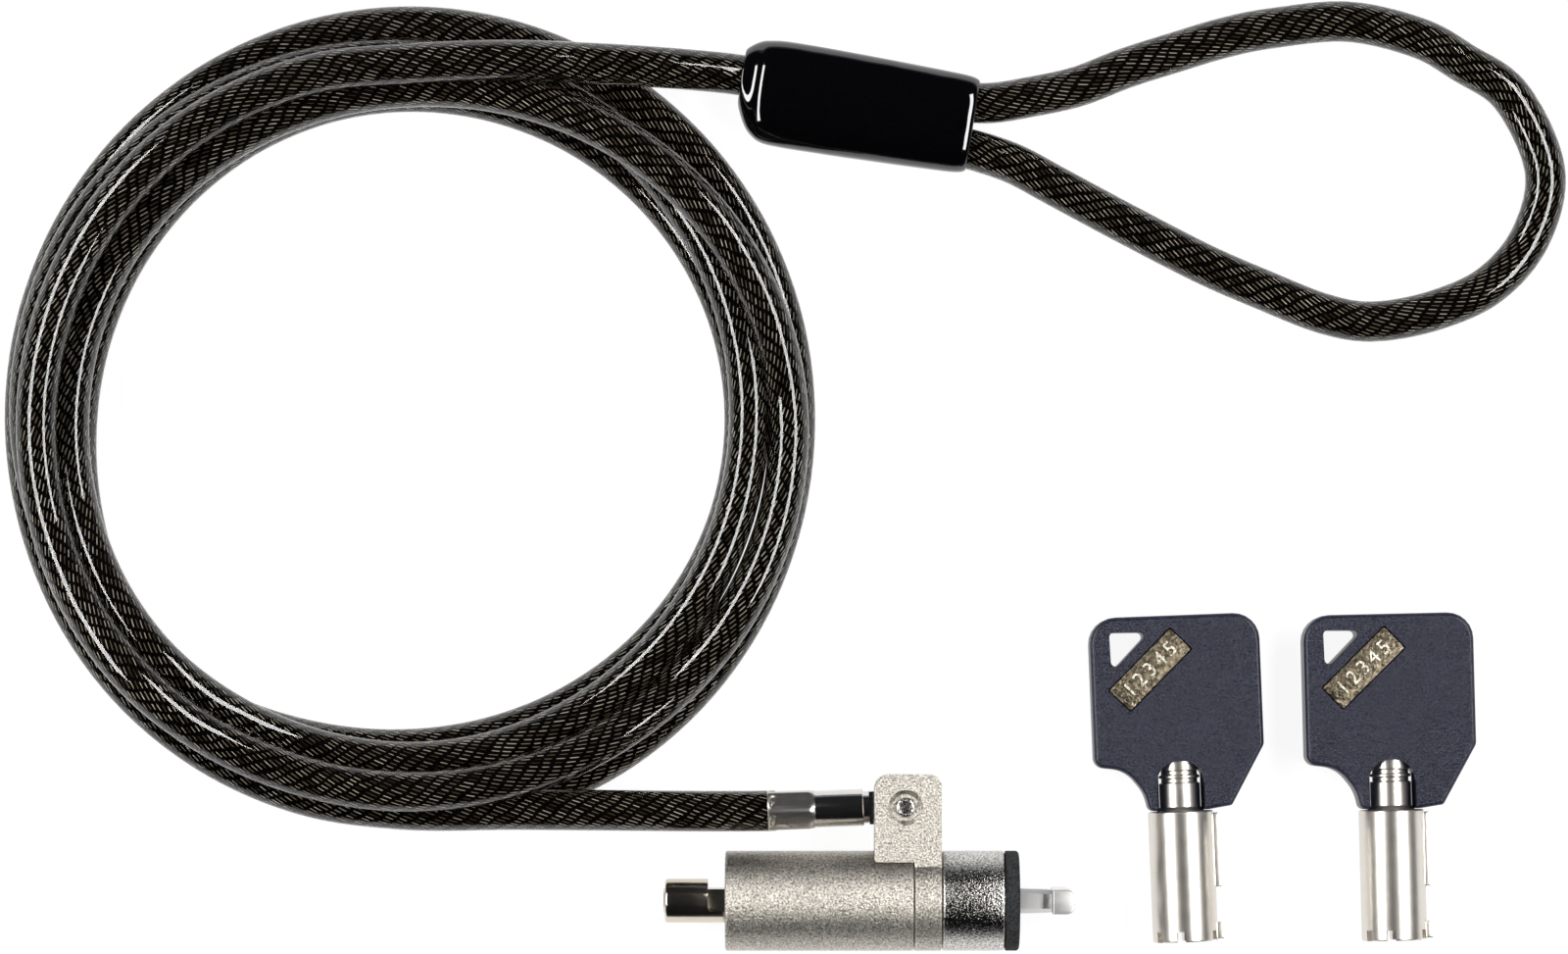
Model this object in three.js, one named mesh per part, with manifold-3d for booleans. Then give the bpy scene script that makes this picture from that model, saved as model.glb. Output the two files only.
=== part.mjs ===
// A laptop cable lock laid out flat: the lock head on its swivel collar, the coiled cable with its
// end loop, and two tubular keys. Millimetres, +Z up. The origin is on the surface that the pieces
// lie on, at the centre of the box around the lock head and the keys.
import * as THREE from 'three';
import { mergeVertices } from 'three/addons/utils/BufferGeometryUtils.js';
import Module from 'manifold-3d';

const wasm = await Module();
wasm.setup();

// ---- driving dimensions ----
const head = {
  x: -42.16, y: -14.56,                     // the centre of the barrel's rear face
  radius: 6.1, barrelLength: 23, neckRadius: 5.1, neckEnd: 30.9, bore: 4.3,
};
const cap = { start: 26.5, wall: 31, end: 34.1, bore: 5.3 };
const collar = { start: 23.1, end: 26.4, bore: 5.2, chamfer: 0.15 };
const ear = {
  left: 18.24, top: 15.28, bottom: 4.92, webTop: 8.2, gap: 5.3, plate: 1.6, bevel: 0.2,
  rearCorner: 1.8, frontCorner: 1,
};
const rivet = {
  x: 22, y: 11.58, head: 1.38, shank: 1.1, hole: 0.77, holeDepth: 1.6, recess: 2.04, recessDepth: 0.65,
};
const pad = { start: 34.2, end: 35.9, hole: 3.7, round: 0.4 };
const tBar = {
  rear: 30, headStart: 39.9, tip: 42.66, width: 3.06, neckWidth: 3, neckHeight: 2.9, headHeight: 6.2,
  flangeHeight: 5.2,
};
const crossPin = { radius: 0.6, hole: 0.72, tBarX: 32.5, capX: 28.6 };
const plug = {
  rear: -7.5, radius: 2.7, stepAt: 1.4, tail: 2.05, tailEnd: 11.5, notch: [-2.1, 0.6], notchSide: 1.5, camOffset: 1.3,
};
const tumbler = { start: 1.6, end: 5, radius: 4.15, pinCircle: 3.35, pinRadius: 0.45, pinHole: 0.55, count: 7 };
const carriage = { start: 5.2, end: 21, radius: 4.2, bore: 2.15, boreEnd: 13.6, driverHole: 10.2 };
const lockingPin = { radius: 0.85, offset: 2.5, start: 17.2, end: 34.4, hole: 0.95 };
const latch = { x: 15, radius: 0.8, stem: 0.35, hole: 0.9, tip: 4.15, holeEnd: 0.8, travel: 5, groove: 5 };
const cable = { radius: 2.5, sides: 10 };
const ferrule = {
  tilt: 2.05, crimpEnd: 16.8, crimpStart: 11.1, rimEnd: 5.1, rimStart: 3.8, radius: 2.28, crimp: 2.52, eye: 2.5,
};
const coil = { x: -80.8, y: 44.22, inner: 37.8, outer: 50.8, height: 12, corner: 3 };
const sleeve = {
  x: -26, y: 82.62, tilt: -9.4, length: 28.8, width: 13, endWidth: 12.1, height: 7.4, mouth: 1.5, crimp: [-10.6, 9.8],
};
const key = {
  thickness: 6, halfWidth: 10.4, top: 23.95, edge: 0.6, tube: 4, tubeBore: 2.8, tubeLength: 16,
  shank: 2.5, shankEnd: 12, window: 3.1, windowTop: 5.6, notchDepth: 1.3,
};
const tag = { x: -3.15, y: 17.4, turn: 43.5, length: 10.6, width: 3.6, bottom: 2.35, seat: 2.2 };
const keyPlaces = [
  { name: 'key_1', x: 13.64, y: -3.7, turn: 2.2 },
  { name: 'key_2', x: 39.47, y: -3.52, turn: 1.3 },
];
const slack = 0.12;                         // around a fixed piece in its seat

// ---- finishes ----
const finish = (color, roughness, metalness) => new THREE.MeshStandardMaterial({ color, roughness, metalness });
const satinNickel = finish(0xb4aca0, 0.38, 1);
const polishedChrome = finish(0xcfcbc4, 0.12, 1);
const springSteel = finish(0x9a9c9e, 0.3, 1);
const brass = finish(0xb08d4a, 0.35, 1);
const blackRubber = finish(0x1d1d1f, 0.9, 0);
const smokeJacket = finish(0x2b2822, 0.25, 0);
const blackVinyl = finish(0x08080a, 0.12, 0);
const keyPlastic = finish(0x23262e, 0.6, 0);
const tagMetal = finish(0x8a7c66, 0.5, 1);

// ---- solids ----
// A closed geometry as a solid, with its shared corners merged and its faces pointing out.
function solid(geometry) {
  const bare = geometry.clone();
  const extras = Object.keys(bare.attributes).filter((name) => name !== 'position');
  extras.forEach((name) => bare.deleteAttribute(name));
  const merged = mergeVertices(bare, 1e-4);
  const vertProperties = new Float32Array(merged.attributes.position.array);
  const index = merged.index.array;
  const corner = (i) => new THREE.Vector3().fromArray(vertProperties, 3 * index[i]);
  const triangles = [];
  let volume = 0;
  for (let i = 0; i < index.length; i += 3) {
    const triangle = [index[i], index[i + 1], index[i + 2]];
    if (new Set(triangle).size < 3) continue;
    triangles.push(triangle);
    volume += corner(i).dot(corner(i + 1).cross(corner(i + 2)));
  }
  if (volume < 0) triangles.forEach((triangle) => triangle.reverse());
  const triVerts = new Uint32Array(triangles.flat());
  return new wasm.Manifold(new wasm.Mesh({ numProp: 3, vertProperties, triVerts }));
}

// A closed [x, radius] profile turned about the X axis.
function turned(profile, sides = 32) {
  const points = profile.map(([x, radius]) => new THREE.Vector2(radius, x));
  return solid(new THREE.LatheGeometry(points, sides).rotateZ(-Math.PI / 2));
}

// A plain round bar along X, centred on y, z.
function bar(start, end, radius, y = 0, z = 0, sides = 16) {
  const geometry = new THREE.CylinderGeometry(radius, radius, end - start, sides).rotateZ(Math.PI / 2);
  return solid(geometry.translate((start + end) / 2, y, z));
}

// A round bar along Z, centred on x, y.
function post(bottom, top, radius, x, y, sides = 20) {
  const geometry = new THREE.CylinderGeometry(radius, radius, top - bottom, sides).rotateX(Math.PI / 2);
  return solid(geometry.translate(x, y, (bottom + top) / 2));
}

function block([x0, x1], [y0, y1], [z0, z1]) {
  const geometry = new THREE.BoxGeometry(x1 - x0, y1 - y0, z1 - z0);
  return solid(geometry.translate((x0 + x1) / 2, (y0 + y1) / 2, (z0 + z1) / 2));
}

// A polygon of [x, y, corner radius] points, listed counter-clockwise.
function outline(corners) {
  const shape = new THREE.Shape();
  corners.forEach(([x, y, radius = 0], i) => {
    const here = new THREE.Vector2(x, y);
    const before = new THREE.Vector2(...corners.at(i - 1)).sub(here).setLength(radius).add(here);
    const after = new THREE.Vector2(...corners[(i + 1) % corners.length]).sub(here).setLength(radius).add(here);
    if (i === 0) shape.moveTo(before.x, before.y);
    else shape.lineTo(before.x, before.y);
    if (radius > 0) shape.quadraticCurveTo(x, y, after.x, after.y);
  });
  return shape;
}

// A flat outline raised along Z, with a bevel of its own around both faces.
function plate(shape, bottom, top, bevel = 0, curveSegments = 4) {
  const geometry = new THREE.ExtrudeGeometry(shape, {
    depth: top - bottom - 2 * bevel, curveSegments, bevelEnabled: bevel > 0, bevelSegments: 1,
    bevelSize: bevel, bevelThickness: bevel, bevelOffset: -bevel,
  });
  return solid(geometry.translate(0, 0, bottom + bevel));
}

const ringOf = (radius, sides) => new THREE.Shape(Array.from({ length: sides }, (_, i) => {
  const angle = (2 * Math.PI * i) / sides;
  return new THREE.Vector2(radius * Math.cos(angle), radius * Math.sin(angle));
}));

// A round section carried along a curve.
function carried(curve, radius, sides, steps) {
  const options = { steps, extrudePath: curve, bevelEnabled: false };
  return solid(new THREE.ExtrudeGeometry(ringOf(radius, sides), options));
}

class Helix extends THREE.Curve {
  constructor(radius, length, turns) {
    super();
    Object.assign(this, { radius, length, turns });
  }

  getPoint(t, target = new THREE.Vector3()) {
    const angle = 2 * Math.PI * this.turns * t;
    return target.set(this.length * t, this.radius * Math.cos(angle), this.radius * Math.sin(angle));
  }
}

const group = new THREE.Group();

function node(name, shape, material, parent) {
  const { vertProperties, triVerts } = shape.getMesh();
  const geometry = new THREE.BufferGeometry();
  geometry.setAttribute('position', new THREE.BufferAttribute(new Float32Array(vertProperties), 3));
  geometry.setIndex(new THREE.BufferAttribute(new Uint32Array(triVerts), 1));
  geometry.computeVertexNormals();
  const mesh = new THREE.Mesh(geometry, material);
  mesh.name = name;
  parent.add(mesh);
}

// ---- lock head: x runs from the barrel's rear face to the T-bar ----
function barrel() {
  const { radius, barrelLength, neckRadius, neckEnd, bore } = head;
  const chamfer = 0.3;
  const shell = turned([
    [0, bore], [0, radius - chamfer], [chamfer, radius], [barrelLength - chamfer, radius],
    [barrelLength, radius - chamfer], [barrelLength, neckRadius], [neckEnd, neckRadius],
    [neckEnd, bore], [0, bore],
  ]);
  const catchX = latch.x + latch.travel;
  const groove = turned([
    [catchX - 1.1, 3.5], [catchX + 1.1, 3.5], [catchX + 1.1, latch.groove], [catchX - 1.1, latch.groove],
    [catchX - 1.1, 3.5],
  ]);
  const keyway = block([-1, 2.4], [3.8, 5.1], [-0.65, 0.65]);
  const pinHole = post(-radius - 0.4, -bore + 0.5, crossPin.hole, crossPin.capX, 0, 12);
  return shell.subtract(groove).subtract(keyway).subtract(pinHole);
}

function frontCap() {
  const { start, wall, end, bore } = cap;
  const round = 0.35;
  const shell = turned([
    [start, bore], [start, head.radius - round], [start + round, head.radius], [end - round, head.radius],
    [end, head.radius - round], [end, 0], [wall, 0], [wall, bore], [start, bore],
  ]);
  const half = tBar.neckWidth / 2 + slack;
  const window = block([wall - 1, end + 1], [-half, half], [-half, half]);
  const { hole, offset } = lockingPin;
  const pinHoles = [-1, 1].map((side) => bar(wall - 1, end + 1, hole, side * offset));
  const crossHole = post(-head.radius - 0.9, 3.7, crossPin.hole, crossPin.tBarX, 0, 12);
  const capPinHole = post(-head.radius - 0.9, -4, crossPin.hole, crossPin.capX, 0, 12);
  return [window, ...pinHoles, crossHole, capPinHole].reduce((body, cut) => body.subtract(cut), shell);
}

function swivelCollar() {
  const { start, end, bore, chamfer } = collar;
  const ringTurn = turned([
    [start, bore], [start, head.radius - chamfer], [start + chamfer, head.radius],
    [end - chamfer, head.radius], [end, head.radius - chamfer], [end, bore], [start, bore],
  ]);
  const inner = ear.gap / 2;
  const outer = inner + ear.plate;
  const face = outline([
    [ear.left, ear.bottom], [end, ear.bottom], [end, ear.top, ear.frontCorner],
    [ear.left, ear.top, ear.rearCorner],
  ]);
  const plates = [[inner, outer], [-outer, -inner]].map(([low, high]) => plate(face, low, high, ear.bevel));
  const web = block([start, end], [2, ear.webTop], [-outer, outer]);
  const barrelRoom = bar(start - 8, start, head.radius + 0.15, 0, 0, 32);
  const boreRoom = bar(start - 1, end + 1, bore, 0, 0, 32);
  const seats = [[outer - rivet.recessDepth, outer + 1], [-outer - 1, -outer + rivet.recessDepth]]
    .map(([low, high]) => post(low, high, rivet.recess, rivet.x, rivet.y));
  const shankHole = post(-outer - 1, outer + 1, rivet.shank + slack, rivet.x, rivet.y);
  const body = plates.reduce((sum, piece) => sum.add(piece), ringTurn.add(web));
  return [barrelRoom, boreRoom, ...seats, shankHole].reduce((sum, cut) => sum.subtract(cut), body);
}

function rivetTube() {
  const top = ear.gap / 2 + ear.plate - 0.1;
  const neck = top - rivet.recessDepth + 0.25;
  const floor = top - rivet.holeDepth;
  const profile = [
    [-floor, 0], [-floor, rivet.hole], [-top, rivet.hole], [-top, rivet.head], [-neck, rivet.head],
    [-neck, rivet.shank], [neck, rivet.shank], [neck, rivet.head], [top, rivet.head], [top, rivet.hole],
    [floor, rivet.hole], [floor, 0],
  ];
  return turned(profile, 20).rotate([0, -90, 0]).translate([rivet.x, rivet.y, 0]);
}

function rubberPad() {
  const { start, end, hole, round } = pad;
  return turned([
    [start, hole], [start, head.radius], [end - round, head.radius], [end, head.radius - round], [end, hole],
    [start, hole],
  ]);
}

function securityTBar() {
  const { rear, headStart, tip, width, neckWidth, neckHeight, headHeight, flangeHeight } = tBar;
  const across = [-neckWidth / 2, neckWidth / 2];
  const neck = block([rear, headStart + 0.5], across, [-neckHeight / 2, neckHeight / 2]);
  const flange = block([rear, cap.wall - slack], across, [-flangeHeight / 2, flangeHeight / 2]);
  const face = outline([
    [headStart, -width / 2], [tip, -width / 2, 1], [tip, width / 2, 1], [headStart, width / 2],
  ]);
  const crossHole = post(-4, 4, crossPin.hole, crossPin.tBarX, 0, 12);
  return neck.add(flange).add(plate(face, -headHeight / 2, headHeight / 2, 0.25)).subtract(crossHole);
}

// The carriage slides in the bore; its rear face is the shear line of the seven tumblers.
function boltCarriage() {
  const { start, end, radius, bore, boreEnd, driverHole } = carriage;
  const body = turned([
    [start, bore], [start, radius], [end, radius], [end, 0], [boreEnd, 0], [boreEnd, bore], [start, bore],
  ]);
  const driverHoles = tumblerPlaces().map(({ y, z }) => bar(start - 1, driverHole, tumbler.pinHole, y, z, 8));
  const { hole, offset } = lockingPin;
  const pinHoles = [-1, 1].map((side) => bar(lockingPin.start - 0.2, end + 1, hole, side * offset));
  const latchHole = post(-radius - 1, -latch.holeEnd, latch.hole, latch.x, 0, 12);
  return [...driverHoles, ...pinHoles, latchHole].reduce((sum, cut) => sum.subtract(cut), body);
}

// Seven tumblers on an eight-place circle; the empty place is under the keyway.
function tumblerPlaces() {
  return Array.from({ length: tumbler.count }, (_, i) => {
    const angle = (2 * Math.PI * (i + 1)) / (tumbler.count + 1);
    return { y: tumbler.pinCircle * Math.cos(angle), z: tumbler.pinCircle * Math.sin(angle) };
  });
}

function tumblerRing() {
  const bore = plug.tail + slack;
  const ring = turned([
    [tumbler.start, bore], [tumbler.start, tumbler.radius], [tumbler.end, tumbler.radius],
    [tumbler.end, bore], [tumbler.start, bore],
  ]);
  return tumblerPlaces()
    .map(({ y, z }) => bar(tumbler.start - 1, tumbler.end + 1, tumbler.pinHole, y, z, 8))
    .reduce((sum, cut) => sum.subtract(cut), ring);
}

function lockPlug() {
  const { rear, radius, stepAt, tail, tailEnd, notch, notchSide, camOffset } = plug;
  const round = 0.35;
  const body = turned([
    [rear, 0], [rear, radius - round], [rear + round, radius], [stepAt, radius], [stepAt, tail],
    [tailEnd, tail], [tailEnd, 0],
  ], 28);
  const sideCut = block(notch, [notchSide, 4], [-4, 4]);
  const faceCut = block(notch, [-1.14, 4], [notchSide, 4]);
  const camNose = bar(tailEnd - 0.5, carriage.boreEnd - 0.3, 0.5, 0, -camOffset, 10);
  return body.subtract(sideCut).subtract(faceCut).add(camNose);
}

function latchPin() {
  const stem = post(-2.4, -1.6, latch.stem, latch.x, 0, 10);
  return post(-latch.tip, -2.3, latch.radius, latch.x, 0, 12).add(stem);
}

function latchSpring() {
  const helix = new Helix(0.6, 1.1, 3);
  return carried(helix, 0.12, 5, 24).rotate([0, -90, 0]).translate([latch.x, 0, -2.1]);
}

function returnSpring() {
  const wire = 0.3;
  const start = carriage.end + wire + 0.1;
  const length = cap.wall - wire - 0.1 - start;
  return carried(new Helix(3.8, length, 5), wire, 6, 70).translate([start, 0, 0]);
}

// ---- cable ----
// The eye swings on the rivet, and the crimp holds the cable's end.
function cableFerrule() {
  const { crimpEnd, crimpStart, rimEnd, rimStart, radius, crimp } = ferrule;
  const half = ear.gap / 2 - 0.25;
  const eye = post(-half, half, ferrule.eye, 0, 0, 24).add(block([-rimStart - 0.4, 0], [-2.1, 2.1], [-half, half]));
  const rim = radius - 0.25;
  const barrelPart = turned([
    [-crimpStart - 0.3, 0], [-crimpStart - 0.3, radius], [-rimEnd, radius], [-rimEnd, rim], [-rimStart, rim],
    [-rimStart, 0],
  ], 24);
  const corner = crimp / Math.cos(Math.PI / 6);
  const hexagon = new THREE.CylinderGeometry(corner, corner, crimpEnd - crimpStart, 6);
  const crimped = solid(hexagon.rotateZ(Math.PI / 2).translate(-(crimpEnd + crimpStart) / 2, 0, 0));
  const roundOver = bar(-crimpEnd - 1, 0, crimp + 0.16, 0, 0, 24);
  const rivetHole = post(-3, 3, rivet.shank + slack, 0, 0, 16);
  return eye.add(barrelPart).add(crimped.intersect(roundOver)).subtract(rivetHole);
}

function cord(points, steps) {
  const places = points.map((point) => new THREE.Vector3(...point));
  const curve = new THREE.CatmullRomCurve3(places, false, 'centripetal');
  return carried(curve, cable.radius, cable.sides, steps);
}

// Straight from the ferrule to the coil.
const leadRoute = [
  [-37.24, -3.59, 6.1], [-40.8, -3.65, 6.1], [-44.8, -3.65, 6.1], [-48.8, -3.65, 6.1], [-52.8, -3.65, 6.1],
  [-56.6, -3.6, 6.1],
];
// From the coil into the sleeve.
const tailRoute = [
  [-50.4, 87.82, 3.4], [-47.8, 87.52, 3.2], [-45.3, 87.22, 3.2], [-42.8, 86.87, 3.4], [-39.9, 86.42, 3.6],
  [-36.7, 85.92, 3.7],
];
// Out of the sleeve, once round the loop and back beside the start.
const loopRoute = [
  [-15.4, 83.62, 3.7], [-12.7, 83.17, 3.6], [-9.3, 83.12, 3.1], [-5, 83.82, 2.6], [1, 85.12, 2.55],
  [7, 87.42, 2.55], [13, 89.32, 2.55], [19, 91.12, 2.55], [25, 92.32, 2.55], [34.3, 93.12, 2.55],
  [43, 91.12, 2.55], [48.4, 88.12, 2.55], [54.4, 83.92, 2.55], [58.5, 74.92, 2.55], [56.8, 66.82, 2.55],
  [51.9, 60.92, 2.55], [45.1, 57.72, 2.55], [37.6, 56.32, 2.55], [31.5, 57.22, 2.55], [23.6, 60.32, 2.55],
  [16.3, 63.52, 2.55], [7, 68.32, 2.55], [-1.4, 72.82, 2.55], [-6.2, 75.42, 2.6], [-10, 76.82, 3.1],
  [-13.4, 77.72, 3.6], [-16.3, 78.28, 3.7],
];

// The outer shape of the coiled turns.
function coilRing() {
  const { inner, outer, height, corner } = coil;
  const profile = [
    [inner + corner, 0], [outer - corner, 0], [outer, corner], [outer, height - corner],
    [outer - corner, height], [inner + corner, height], [inner, height - corner], [inner, corner],
    [inner + corner, 0],
  ];
  const points = profile.map(([radius, z]) => new THREE.Vector2(radius, z));
  return solid(new THREE.LatheGeometry(points, 60).rotateX(Math.PI / 2)).translate([coil.x, coil.y, 0]);
}

function oval(width, height) {
  const [x, y, round] = [width / 2, height / 2, height * 0.42];
  return outline([[-x, -y, round], [x, -y, round], [x, y, round], [-x, y, round]]);
}

// An outline in the YZ plane, raised along X.
const alongX = (shape, start, end) => plate(shape, start, end, 0, 4).rotate([90, 0, 90]);

// The soft boot over the crimp: one mouth for the cable, one for both strands of the loop.
function loopSleeve() {
  const { length, width, endWidth, height, mouth } = sleeve;
  const geometry = new THREE.SphereGeometry(1, 24, 13).rotateZ(Math.PI / 2);
  const position = geometry.attributes.position;
  const signedPower = (value, power) => Math.sign(value) * Math.abs(value) ** power;
  for (let i = 0; i < position.count; i += 1) {
    const along = position.getX(i);
    const spread = Math.sqrt(Math.max(1 - along * along, 0));
    const squared = spread > 1e-6 ? signedPower(spread, along < 0 ? 0.36 : 0.22) / spread : 0;
    const taper = THREE.MathUtils.lerp(width, endWidth, (along + 1) / 2) / 2;
    position.setXYZ(i, (signedPower(along, 0.45) * length) / 2, position.getY(i) * squared * taper,
      (position.getZ(i) * squared * height) / 2);
  }
  const crimpRoom = alongX(oval(11, 5.8), -length / 2 + 3.4, length / 2 + 2);
  const cableRoom = bar(-length / 2 - 2, length / 2, cable.radius + 0.3, mouth);
  return solid(geometry).subtract(crimpRoom).subtract(cableRoom);
}

const loopCrimp = () => alongX(oval(10.6, 5.3), ...sleeve.crimp);

// ---- keys: y runs from the tube's shoulder to the top of the bow ----
function keyBow() {
  const { thickness, halfWidth, top, edge, shank, shankEnd, window, windowTop } = key;
  const half = thickness / 2;
  const shape = outline([
    [halfWidth, 7.8, 1.2], [halfWidth, top, 3.2], [-halfWidth, top, 3.2], [-halfWidth, 5.7, 1.3],
    [-6.6, 5.2, 1.2], [-4.4, 2.4, 1], [-3.9, 0.1], [3.3, 0.1], [6.2, 0.5, 0.6],
  ]);
  shape.holes.push(outline([[-8, 22.1, 0.5], [-7.9, 17.2, 0.5], [-3.1, 22, 0.5]]));
  const bow = plate(shape, -half, half, edge, 3);
  const arch = outline([[-window, -1], [window, -1], [window, windowTop, 2], [-window, windowTop, 2]]);
  const opening = plate(arch, -half - 1, half + 1);
  const bore = bar(-1, shankEnd + slack, shank + slack, 0, 0, 20).rotate([0, 0, 90]);
  return bow.subtract(opening).subtract(bore).subtract(tagPlate(0.15, tag.seat, half + 1));
}

function tagPlate(margin, bottom, top) {
  const [long, wide] = [tag.length / 2 + margin, tag.width / 2 + margin];
  const piece = block([-long, long], [-wide, wide], [bottom, top]);
  return piece.rotate([0, 0, tag.turn]).translate([tag.x, tag.y, 0]);
}

// The tube slips over the lock's plug; its rib and lug pass the keyway.
function keyTube() {
  const { tube, tubeBore, tubeLength, shank, shankEnd, notchDepth } = key;
  const floor = -2.2;
  const groove = { start: 3.7, end: 4.3, radius: shank - 0.3 };
  const body = turned([
    [-tubeLength, tubeBore], [-tubeLength, tube - 0.2], [-tubeLength + 0.2, tube], [-0.4, tube],
    [-0.1, tube - 0.3], [-0.1, shank], [groove.start, shank], [groove.start, groove.radius],
    [groove.end, groove.radius], [groove.end, shank], [shankEnd, shank], [shankEnd, 0], [floor, 0],
    [floor, tubeBore], [-tubeLength, tubeBore],
  ]);
  const rib = block([-9.4, -0.3], [-tube - 0.7, -3.4], [-0.6, 0.6]);
  const lug = block([-15.75, -13.7], [-tube - 0.8, -3.4], [-0.6, 0.6]);
  const notches = [0.1, 0.22, 0.42, 0.58, 0.78, 0.9].map((turn) => {
    const notch = block([-tubeLength - 1, -tubeLength + notchDepth], [2.4, 5], [-0.55, 0.55]);
    return notch.rotate([360 * turn, 0, 0]);
  });
  const whole = notches.reduce((sum, cut) => sum.subtract(cut), body.add(rib).add(lug));
  return whole.rotate([0, 0, 90]);
}

// ---- assembly ----
const lockHead = new THREE.Group();
lockHead.position.set(head.x, head.y, head.radius);
group.add(lockHead);
node('lock_barrel', barrel(), satinNickel, lockHead);
node('front_cap', frontCap(), satinNickel, lockHead);
node('swivel_collar', swivelCollar(), satinNickel, lockHead);
node('cable_rivet', rivetTube(), satinNickel, lockHead);
node('rubber_pad', rubberPad(), blackRubber, lockHead);
node('t_bar', securityTBar(), polishedChrome, lockHead);
node('t_bar_pin', post(-5.9, 3.5, crossPin.radius, crossPin.tBarX, 0, 12), springSteel, lockHead);
node('cap_pin', post(-5.95, -4.4, crossPin.radius, crossPin.capX, 0, 12), springSteel, lockHead);
node('bolt_carriage', boltCarriage(), brass, lockHead);
node('return_spring', returnSpring(), springSteel, lockHead);
[['left', 1], ['right', -1]].forEach(([side, sign]) => {
  const pin = bar(lockingPin.start, lockingPin.end, lockingPin.radius, sign * lockingPin.offset);
  node(`locking_pin_${side}`, pin, polishedChrome, lockHead);
});
node('lock_plug', lockPlug(), polishedChrome, lockHead);
node('tumbler_ring', tumblerRing(), brass, lockHead);
tumblerPlaces().forEach(({ y, z }, i) => {
  const { start, end, pinRadius } = tumbler;
  const keyPin = bar(start + 0.1, end - 0.1, pinRadius, y, z, 8);
  const driverPin = bar(carriage.start + 0.1, carriage.start + 3, pinRadius, y, z, 8);
  node(`key_pin_${i + 1}`, keyPin, polishedChrome, lockHead);
  node(`driver_pin_${i + 1}`, driverPin, springSteel, lockHead);
});
node('latch_pin', latchPin(), springSteel, lockHead);
node('latch_spring', latchSpring(), springSteel, lockHead);

const cableEnd = new THREE.Group();
cableEnd.position.set(head.x + rivet.x, head.y + rivet.y, head.radius);
cableEnd.rotation.z = THREE.MathUtils.degToRad(ferrule.tilt);
group.add(cableEnd);
node('cable_ferrule', cableFerrule(), polishedChrome, cableEnd);
node('cable_lead', cord(leadRoute, 8), smokeJacket, group);
node('cable_coil', coilRing(), smokeJacket, group);
node('cable_tail', cord(tailRoute, 5), smokeJacket, group);
node('cable_loop', cord(loopRoute, 38), smokeJacket, group);

const boot = new THREE.Group();
boot.position.set(sleeve.x, sleeve.y, sleeve.height / 2);
boot.rotation.z = THREE.MathUtils.degToRad(sleeve.tilt);
group.add(boot);
node('loop_sleeve', loopSleeve(), blackVinyl, boot);
node('loop_crimp', loopCrimp(), springSteel, boot);

// A key lies on its tube's shoulder and on the far edge of its bow.
const keyLean = Math.asin((key.tube - key.thickness / 2) / key.top);
keyPlaces.forEach(({ name, x, y, turn }) => {
  const place = new THREE.Group();
  place.position.set(x, y, key.tube);
  place.rotation.set(-keyLean, 0, THREE.MathUtils.degToRad(turn), 'ZXY');
  group.add(place);
  node(`${name}_bow`, keyBow(), keyPlastic, place);
  node(`${name}_tube`, keyTube(), polishedChrome, place);
  node(`${name}_tag`, tagPlate(0, tag.bottom, key.thickness / 2 - 0.08), tagMetal, place);
});

export default group;
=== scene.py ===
# A laptop cable lock on a pale table: lock head, coiled cable with its end loop, and two tubular keys.
import math

import bpy
import bmesh
import numpy as np
from mathutils import Matrix, Vector


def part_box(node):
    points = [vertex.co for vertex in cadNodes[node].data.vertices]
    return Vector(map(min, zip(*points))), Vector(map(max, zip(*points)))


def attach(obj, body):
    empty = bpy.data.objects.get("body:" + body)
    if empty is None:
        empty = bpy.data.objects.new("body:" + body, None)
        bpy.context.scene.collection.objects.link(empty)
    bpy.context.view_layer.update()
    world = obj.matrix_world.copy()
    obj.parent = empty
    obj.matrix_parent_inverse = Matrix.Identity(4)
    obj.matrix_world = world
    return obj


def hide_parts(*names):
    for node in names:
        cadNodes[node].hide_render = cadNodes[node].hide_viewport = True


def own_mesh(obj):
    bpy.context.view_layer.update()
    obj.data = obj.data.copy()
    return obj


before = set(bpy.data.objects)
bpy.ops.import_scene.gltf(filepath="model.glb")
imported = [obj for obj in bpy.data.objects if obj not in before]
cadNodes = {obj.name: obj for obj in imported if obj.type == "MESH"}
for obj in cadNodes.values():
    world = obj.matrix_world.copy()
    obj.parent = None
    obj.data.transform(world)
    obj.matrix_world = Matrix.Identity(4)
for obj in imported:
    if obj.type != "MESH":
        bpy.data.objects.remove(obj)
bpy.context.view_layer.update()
mm = 0.001

# ---- what every piece is made with ----


# adds a node to any tree, sets its properties, and links or sets its inputs by name or number
def addNode(tree, kind, inputs=None, **properties):
    node = tree.nodes.new(kind)
    for name, value in properties.items():
        setattr(node, name, value)
    setInputs(tree, node, inputs or {})
    return node


def setInputs(tree, node, inputs):
    for name, value in inputs.items():
        socket = node.inputs[name]
        if isinstance(value, bpy.types.Node):
            value = value.outputs[0]
        if isinstance(value, bpy.types.NodeSocket):
            tree.links.new(value, socket)
        elif socket.type == "RGBA":
            socket.default_value = (*value, 1.0)
        else:
            socket.default_value = value


def addMath(tree, operation, *values, kind="ShaderNodeMath"):
    return addNode(tree, kind, dict(enumerate(values)), operation=operation)


def linkPiece(name, data):
    piece = bpy.data.objects.new(name, data)
    bpy.context.scene.collection.objects.link(piece)
    return piece


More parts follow.
